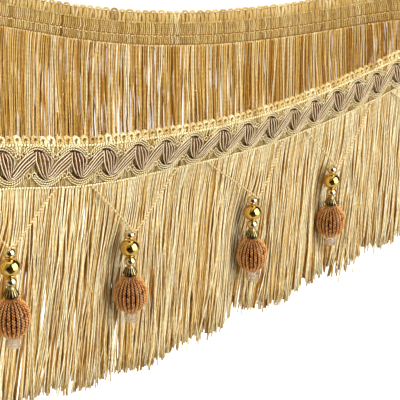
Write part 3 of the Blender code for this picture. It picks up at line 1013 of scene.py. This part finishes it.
def shade_beds(name, kind):
    """One flat brown cord under the middle of each scallop: painted shade round the cords."""
    big = (kind.half ** 2 + kind.rise ** 2) / (2 * kind.rise)
    swing = np.linspace(-1, 1, ARC_STEPS) * math.asin(kind.half / big)
    across = (big - SHADE_BED_INSET) * np.sin(swing)
    up = kind.rise - big + (big - SHADE_BED_INSET) * np.cos(swing)
    way = 1 if kind.upwards else -1
    rows = []
    for k in PERIODS:
        middle = between(k, kind.share)
        if kind.half < middle < LENGTH - kind.half:
            rows.append(np.stack([middle + way * across, kind.depth - way * up], -1))
    rows = np.array(rows)
    points = on_tape(rows[..., 0], rows[..., 1], SHADE_BED_OUT)
    at_tip = np.abs(np.linspace(-1, 1, ARC_STEPS)) > 0.95
    radius = np.where(at_tip, 0.6, 1.0)[None, :] * SHADE_BED_HALF
    return threads(name, points, frame_at(rows[..., 0])[4], radius, 6, np.zeros(len(rows)),
                   SHADE_BED_LOOK, flat=0.16)


upper_shade_bed = dress(shade_beds("gimp_upper_shade_bed", UPPER), "gimp_cord")
lower_shade_bed = dress(shade_beds("gimp_lower_shade_bed", LOWER), "gimp_cord")

# %% [markdown]
# ## The zigzag ribbon
# The ribbon is nine glossy threads side by side, dark maroon and silvery beige in turn. It
# goes down from each top as a wide curved stroke, turns flat round its foot, rises in a
# long straight stroke, and tucks under the next top. Each thread is a smooth curve through
# nine places, and the two outermost threads set where the others go.

# %% Where the two outermost threads pass
# share of the pitch from the foot, depth on the tape and height over it, for both threads
Pass = namedtuple("Pass", "inner_share inner_depth outer_share outer_depth out")
RIBBON = [
    Pass(-0.05, 9.0, -0.33, 8.2, 2.6),
    Pass(0.07, 11.2, -0.33, 12.2, 3.3),
    Pass(0.09, 14.2, -0.27, 15.8, 3.3),
    Pass(0.06, 17.6, -0.16, 19.4, 3.0),
    Pass(0.03, 20.0, 0.00, 22.2, 2.7),
    Pass(0.07, 18.2, 0.24, 21.4, 2.8),
    Pass(0.24, 13.6, 0.42, 18.2, 2.8),
    Pass(0.44, 9.8, 0.60, 15.2, 2.7),
    Pass(0.62, 7.9, 0.74, 12.6, 2.1),
]
RIBBON_THREADS = 9
RIBBON_STEPS = 3
LOOSE = 0.14


def smooth_rows(rows, steps):
    """A Catmull-Rom curve through rows of values, with its ends kept."""
    ends = np.concatenate([2 * rows[:1] - rows[1:2], rows, 2 * rows[-1:] - rows[-2:-1]])
    t = (np.arange(steps) / steps)[:, None]
    spans = []
    for i in range(len(rows) - 1):
        a, b, c, d = ends[i:i + 4]
        spans.append(0.5 * (2 * b + (c - a) * t + (2 * a - 5 * b + 4 * c - d) * t**2
                            + (3 * b - a - 3 * c + d) * t**3))
    return np.vstack(spans + [rows[-1:]])


def along_ribbon(steps, shares, values):
    """Values that change evenly between some shares of a thread's steps."""
    return np.interp(np.linspace(0, 1, steps), shares, values)[None, :]


def zigzag_threads():
    """The nine threads of every period, in one piece."""
    draw = np.random.default_rng(31)
    rows, tones = [], []
    for k in range(-1, int(LENGTH / ZIGZAG_PITCH) + 2):
        low, foot, high = zigzag_at(k - 1), zigzag_at(k), zigzag_at(k + 1)
        if not 5 < foot < LENGTH - 5:
            continue
        for j in range(RIBBON_THREADS):
            u = j / (RIBBON_THREADS - 1)
            places = []
            for at in RIBBON:
                share = at.inner_share + (at.outer_share - at.inner_share) * u
                reach = high - foot if share > 0 else foot - low
                s = foot + reach * share + draw.normal(0, LOOSE)
                depth = at.inner_depth + (at.outer_depth - at.inner_depth) * u
                depth = depth + draw.normal(0, LOOSE)
                raised = 0.4 * math.sin(math.pi * u) + (0.08 if j % 2 == 0 else -0.08)
                places.append((s, depth, at.out + raised))
            rows.append(smooth_rows(np.array(places), RIBBON_STEPS))
            light = j % 2 == 0
            tones.append(draw.uniform(0.85, 1.0) if light else draw.uniform(0.0, 0.1))
    rows = np.array(rows)
    s = np.clip(rows[..., 0], 0.8, LENGTH - 0.8)
    points = on_tape(s, rows[..., 1], rows[..., 2])
    steps = rows.shape[1]
    radius = along_ribbon(steps, [0, 0.3, 0.5, 0.6, 1], [0.36, 0.4, 0.27, 0.36, 0.36])
    falling = along_ribbon(steps, [0, 0.45, 0.55, 1], [1, 1, 0, 0])
    tones = np.array(tones)
    dark_weight, light_weight = 1.12 + 0.26 * falling, 0.82 - 0.12 * falling
    weight = np.where(tones[:, None] > 0.5, light_weight, dark_weight)
    return threads("zigzag_ribbon", points, frame_at(s)[4], radius * weight, 4, tones,
                   ZIGZAG_LOOK)


ribbon = dress(zigzag_threads(), "zigzag_thread", "gimp_zigzag")

# %% [markdown]
# ## The drops
# Each drop hangs plumb from the point of its V. The pieces are modelled once at the origin
# and copied to the nine places: three metal-look beads, a fluted bell cap, a ball wound
# with metallic thread, and a short clear tube.


# %% Where the drops hang
def drop_foot(k):
    """The point under the V from which a drop's depths are measured, in millimetres."""
    at = DROP_START + DROP_PITCH * k + DROPS[k].shift
    level = plumb_of(at, DROPS[k].height, DROP_OUT)
    ball = plumb_of(at, DROPS[k].height + BALL_DEPTH, DROP_OUT)
    return np.array([ball[0], ball[1], level[2]])


FEET = [drop_foot(k) for k in range(len(DROPS))]


def hang(k, model, label, slot, part=None, look=None, depth=0.0):
    """A copy of a modelled piece with its own mesh, under the foot of a drop."""
    name = f"drop_{k + 1}_{label}"
    mesh = model.data.copy()
    mesh.name = name
    mesh.transform(Matrix.Translation(Vector((FEET[k] - np.array([0, 0, depth])) * MM)))
    if look:
        mesh.materials.append(look)
    nodes = [f"drop_{k + 1}_{part}"] if part else []
    return dress(put_in_scene(name, mesh), slot, *nodes)


# %% [markdown]
# ## Metal finishes
# The beads are plated plastic with tiny dents, the large one gold and the small ones paler.
# The cap is antique gold: bright on its ridges and nearly black in its grooves, and its neck
# under the skirt is set dark all round as painted shade.

# %% Bead and cap finishes
# Nearly black: the patina in the cap's flutes and the painted shade on its neck.
PATINA_AND_SHADE_BLACK = (0.03, 0.018, 0.006)


def gold_material(name, bright, dull, roughness, groove, scale):
    """Plated metal whose colour follows a noise. With groove set, a point attribute darkens it:
    patina in the flutes, painted shade on the neck under the skirt.
    """
    made, tree, shader = new_material(name)
    speck = speckle(tree, scale, 3)
    stained = mix_colour(tree, speck, dull, bright)
    if groove:
        patina_and_shade = tree.nodes.new("ShaderNodeAttribute")
        patina_and_shade.attribute_name = "patina_and_shade"
        stained = mix_colour(tree, patina_and_shade.outputs["Fac"], stained, PATINA_AND_SHADE_BLACK)
    tree.links.new(stained, shader.inputs["Base Color"])
    rough = math_node(tree, "MULTIPLY_ADD", speck, 0.12, roughness)
    tree.links.new(rough, shader.inputs["Roughness"])
    emboss(tree, shader, speck, 0.02)
    shader.inputs["Metallic"].default_value = 1.0
    return made


BEAD_LOOK = gold_material("bead_gold", (0.88, 0.66, 0.22), (0.70, 0.46, 0.11),
                          roughness=0.01, groove=False, scale=700)
PALE_BEAD_LOOK = gold_material("bead_pale_gold", (0.88, 0.76, 0.50), (0.72, 0.58, 0.33),
                               roughness=0.03, groove=False, scale=700)
CAP_LOOK = gold_material("cap_gold", (0.95, 0.80, 0.42), (0.66, 0.48, 0.18),
                         roughness=0.22, groove=True, scale=900)
print("metal finishes made")


# %% Model a bead
HOLE_SUNK = 0.5


def model_bead(name, radius, half_height, hole):
    """A ball a little flattened, with a sunk hole at each end for the string."""
    bpy.ops.object.select_all(action="DESELECT")
    bpy.ops.mesh.primitive_uv_sphere_add(segments=32, ring_count=18, radius=radius * MM)
    bead = bpy.context.object
    bead.name = name
    pick_all(bead)
    bpy.ops.transform.resize(value=(1, 1, half_height / radius))
    done()
    for end in (1, -1):
        pick(bead, lambda co: math.hypot(co.x, co.y) < hole * MM and co.z * end > 0)
        bpy.ops.transform.translate(value=(0, 0, -end * HOLE_SUNK * MM))
        done()
    bead.data.shade_smooth()
    return bead


SMALL_BEAD = model_bead("small_bead_model", radius=3.25, half_height=2.85, hole=0.7)
LARGE_BEAD = model_bead("large_bead_model", radius=5.5, half_height=4.95, hole=1.1)
Bead = namedtuple("Bead", "label model part look depth")
BEADS = [
    Bead("top_bead", SMALL_BEAD, None, PALE_BEAD_LOOK, 1.7),
    Bead("large_bead", LARGE_BEAD, "beads", BEAD_LOOK, 9.3),
    Bead("low_bead", SMALL_BEAD, None, PALE_BEAD_LOOK, 16.9),
]
for k, bead in product(range(len(DROPS)), BEADS):
    hang(k, bead.model, bead.label, "bead_gold", bead.part, bead.look, bead.depth)

# %% Model the fluted cap
Ring = namedtuple("Ring", "radius depth")
CAP_RINGS = [Ring(*row) for row in [
    (1.2, 19.4), (1.9, 19.9), (2.6, 20.8), (3.2, 21.8), (3.8, 22.8), (4.35, 23.8),
    (4.3, 24.1), (3.5, 24.3), (3.3, 24.9), (3.5, 25.7), (3.0, 26.1),
]]
CAP_SKIRT = 24.0
FLUTES = 15
POINTS_A_FLUTE = 4


def model_cap():
    """A circle drawn down ring by ring, its flutes pressed in, and its ends filled."""
    bpy.ops.object.select_all(action="DESELECT")
    first = CAP_RINGS[0]
    bpy.ops.mesh.primitive_circle_add(
        vertices=FLUTES * POINTS_A_FLUTE, radius=first.radius * MM, fill_type="TRIFAN",
        location=(0, 0, -first.depth * MM))
    cap = bpy.context.object
    cap.name = "cap_model"
    bpy.ops.object.transform_apply(location=True)
    pick(cap, lambda co: math.hypot(co.x, co.y) > 0.5 * first.radius * MM)
    for before, after in zip(CAP_RINGS, CAP_RINGS[1:]):
        grow = after.radius / before.radius
        bpy.ops.mesh.extrude_edges_move()
        bpy.ops.transform.translate(value=(0, 0, (before.depth - after.depth) * MM))
        bpy.ops.transform.resize(value=(grow, grow, 1))
    bpy.ops.mesh.fill()
    done()
    return cap


CAP = model_cap()

# %% Press the flutes in
FLUTES_FROM = 19.6
NECK_END = 25.2
FLUTE_DEPTH = 0.4


def pressed_in(place):
    """How deep in a groove a point of the cap is, from 0 on a ridge to 1."""
    depth = -place.z / MM
    # Under the skirt the neck is narrowed and set dark all round: painted shade under the
    # skirt.
    if depth > NECK_END:
        return 0.6
    if depth > CAP_SKIRT:
        return 0.95
    in_groove = math.cos(math.atan2(place.y, place.x) * FLUTES) < 0.5
    return in_groove * min(max((depth - FLUTES_FROM) / 1.2, 0), 1)


patina_and_shade_marks = CAP.data.attributes.new("patina_and_shade", "FLOAT", "POINT")
for point in CAP.data.vertices:
    reach = math.hypot(point.co.x, point.co.y) / MM
    pressed = pressed_in(point.co)
    patina_and_shade_marks.data[point.index].value = pressed
    if reach > 0.5:
        shrink = 1 - FLUTE_DEPTH * pressed / max(reach, 1)
        point.co.x *= shrink
        point.co.y *= shrink
pick_all(CAP)
bpy.ops.mesh.normals_make_consistent(inside=False)
done()
CAP.data.shade_smooth()
for k in range(len(DROPS)):
    hang(k, CAP, "bell_cap", "cap_gold", "cap", CAP_LOOK)

# %% [markdown]
# ## The wound ball
# The ball is covered with metallic thread in upright columns of small slanting stitches,
# like the back of a knitted row: left, right, left, right. A near-black core is modelled
# first: its own dark colour, made darker as painted shade in the gaps between stitches.
# The same grain as before is stamped over it in columns that narrow to the poles.

# %% The ball's core and its stitches
BALL_RADIUS = 9.45
BALL_HALF_HEIGHT = 11.1
BALL_MIDDLE = 36.2
BALL_COLUMNS = 23
BALL_COURSES = 19
FIRST_COURSE = math.radians(16)
COURSE_STEP = math.radians(148) / (BALL_COURSES - 1)
STITCH_SUNK = 0.45
CORE_SUNK = 0.5
STITCH_SLANT = math.radians(28)

# The shadow colour, near black, is the core's: its own dark colour and painted shade in the
# gaps between stitches.
BALL_LOOK = yarn_material(
    "ball_thread", (0.03, 0.004, 0.001), (0.92, 0.29, 0.035), (1.0, 0.72, 0.34),
    pitch=2.0, deep=0.0, gloss=0.24, bump=0.05)
BALL_LOOK.node_tree.nodes["Principled BSDF"].inputs["Metallic"].default_value = 0.7


def wound_ball():
    """The stitches of a ball in one mesh round the origin, at the ball's depth."""
    draw = np.random.default_rng(41)
    width = 2 * math.pi / BALL_COLUMNS
    places, axes, tones = [], [], []
    for c, course, hand in product(range(BALL_COLUMNS), range(BALL_COURSES), (-1, 1)):
        polar = FIRST_COURSE + COURSE_STEP * (course + 0.25 * hand)
        turn = width * (c + 0.16 * hand)
        around = np.array([math.cos(turn), math.sin(turn), 0])
        outward = math.sin(polar) * around + np.array([0, 0, math.cos(polar)])
        places.append((BALL_RADIUS - STITCH_SUNK) * math.sin(polar) * around
                      + np.array([0, 0, (BALL_HALF_HEIGHT - STITCH_SUNK) * math.cos(polar)
                                  - BALL_MIDDLE]))
        round_way = np.array([-math.sin(turn), math.cos(turn), 0])
        down_way = np.cross(outward, round_way)
        long_way = (down_way * math.cos(STITCH_SLANT * hand)
                    + round_way * math.sin(STITCH_SLANT * hand))
        thin = 0.9 * max(math.sin(polar), 0.25)
        axes.append([np.cross(long_way, outward) * 0.42 * (0.4 + 0.6 * thin), outward * 0.85,
                     long_way * 1.08 * (0.35 + 0.65 * thin)])
        bright = (0.55, 1.0) if draw.random() < 0.93 else (0.15, 0.45)
        tones.append(draw.uniform(*bright))
    return stamp("ball_model", grain, np.array(places), np.array(axes), np.array(tones),
                 BALL_LOOK)


BALL = wound_ball()
bpy.ops.object.select_all(action="DESELECT")
bpy.ops.mesh.primitive_uv_sphere_add(segments=24, ring_count=12,
                                     radius=(BALL_RADIUS - CORE_SUNK) * MM,
                                     location=(0, 0, -BALL_MIDDLE * MM))
core = bpy.context.object
core.scale = (1, 1, BALL_HALF_HEIGHT / BALL_RADIUS)
bpy.ops.object.transform_apply(location=True, scale=True)
core.name = "core_model"
core.data.materials.append(BALL_LOOK)
core.data.shade_smooth()
# A tone of 0 gives the core that near-black shadow colour.
core.data.attributes.new("tone", "FLOAT", "POINT")
only(BALL)
core.select_set(True)
bpy.ops.object.join()
for k in range(len(DROPS)):
    hang(k, BALL, "wound_ball", "ball_thread", "ball")

# %% [markdown]
# ## The clear tube end
# A short piece of clear plastic tube ends each drop. It starts as a cylinder whose two ends
# are inset and bridged through, and its rims are rounded by a bevel.

# %% Model the tube
TUBE_RADIUS = 3.2
TUBE_WALL = 0.8
TUBE_TOP = 46.9
TUBE_END = 52.4


def clear_material():
    """Clear plastic, a little hazy and yellowed."""
    made, tree, shader = new_material("clear_tube")
    haze = speckle(tree, 600)
    tree.links.new(mix_colour(tree, haze, (0.95, 0.88, 0.8), (0.84, 0.74, 0.64)),
                   shader.inputs["Base Color"])
    tree.links.new(math_node(tree, "MULTIPLY_ADD", haze, 0.3, 0.1), shader.inputs["Roughness"])
    shader.inputs["Transmission Weight"].default_value = 0.85
    shader.inputs["IOR"].default_value = 1.4
    return made


CLEAR_LOOK = clear_material()
bpy.ops.object.select_all(action="DESELECT")
bpy.ops.mesh.primitive_cylinder_add(vertices=40, radius=TUBE_RADIUS * MM,
                                    depth=(TUBE_END - TUBE_TOP) * MM,
                                    location=(0, 0, -(TUBE_TOP + TUBE_END) / 2 * MM))
TUBE = bpy.context.object
TUBE.name = "tube_model"
bpy.ops.object.transform_apply(location=True)
pick(TUBE, lambda middle: math.hypot(middle.x, middle.y) < 0.5 * TUBE_RADIUS * MM, "FACE")
bpy.ops.mesh.inset(thickness=TUBE_WALL * MM, depth=0)
bpy.ops.mesh.bridge_edge_loops()
bpy.ops.mesh.select_all(action="SELECT")
bpy.ops.mesh.normals_make_consistent(inside=False)
done()
rims = TUBE.modifiers.new("rims", "BEVEL")
rims.width = 0.2 * MM
rims.segments = 2
rims.angle_limit = math.radians(50)
only(TUBE)
bpy.ops.object.modifier_apply(modifier="rims")
TUBE.data.shade_smooth()
bpy.ops.object.shade_smooth_by_angle(angle=math.radians(40))
for k in range(len(DROPS)):
    hang(k, TUBE, "clear_tube", "clear_tube", "tube", CLEAR_LOOK)

# %% [markdown]
# ## The V strings
# Each drop hangs on a thin two-ply string from the tape's foot. Two plies wind round the
# string's line as helices, so its twist shows at its edge too.

# %% Twisted strings
PLY_PITCH = 2.3
PLY_RADIUS = 0.37
PLY_OFFSET = 0.31
LEG_STEPS = 125
LEG_OUT = 2.1
LEG_START = -0.6
TIE_ABOVE = 1.1


def v_line(k):
    """The middle line of one V string, down to the drop and up again."""
    row, middle = DROPS[k], DROP_START + DROP_PITCH * k
    share = np.linspace(0, 1, LEG_STEPS, endpoint=False)
    legs = []
    for side in (-1, 1):
        s = middle + side * V_HALF_WIDTH * (1 - share) + row.shift * share
        fall = LEG_START + (row.height - LEG_START) * share
        legs.append(plumb_of(s, fall, LEG_OUT + (DROP_OUT - LEG_OUT) * share))
    point = FEET[k] + np.array([0, 0, TIE_ABOVE])
    return np.vstack([legs[0], point[None, :], legs[1][::-1]])


def v_string(k):
    """The two plies of one V string."""
    line = v_line(k)
    gone = run_along(line)
    tangent = unit(np.gradient(line, axis=0))
    outward = frame_at(DROP_START + DROP_PITCH * k)[2]
    side = unit(outward - tangent * (tangent @ outward)[:, None])
    other = np.cross(tangent, side)
    plies = []
    for start in (0, math.pi):
        turn = (start + 2 * math.pi * gone / PLY_PITCH)[:, None]
        plies.append(line + PLY_OFFSET * (np.cos(turn) * side + np.sin(turn) * other))
    return threads(f"drop_{k + 1}_v_string", np.array(plies), side[None], PLY_RADIUS, 4,
                   np.array([0.5, 0.95]), STRING_LOOK)


for k in range(len(DROPS)):
    dress(v_string(k), "drop_string", f"drop_{k + 1}_string")

# %% [markdown]
# The models have done their work.

# %% Remove the models
for model in (grain, SMALL_BEAD, LARGE_BEAD, CAP, BALL, TUBE):
    bpy.data.objects.remove(model, do_unlink=True)
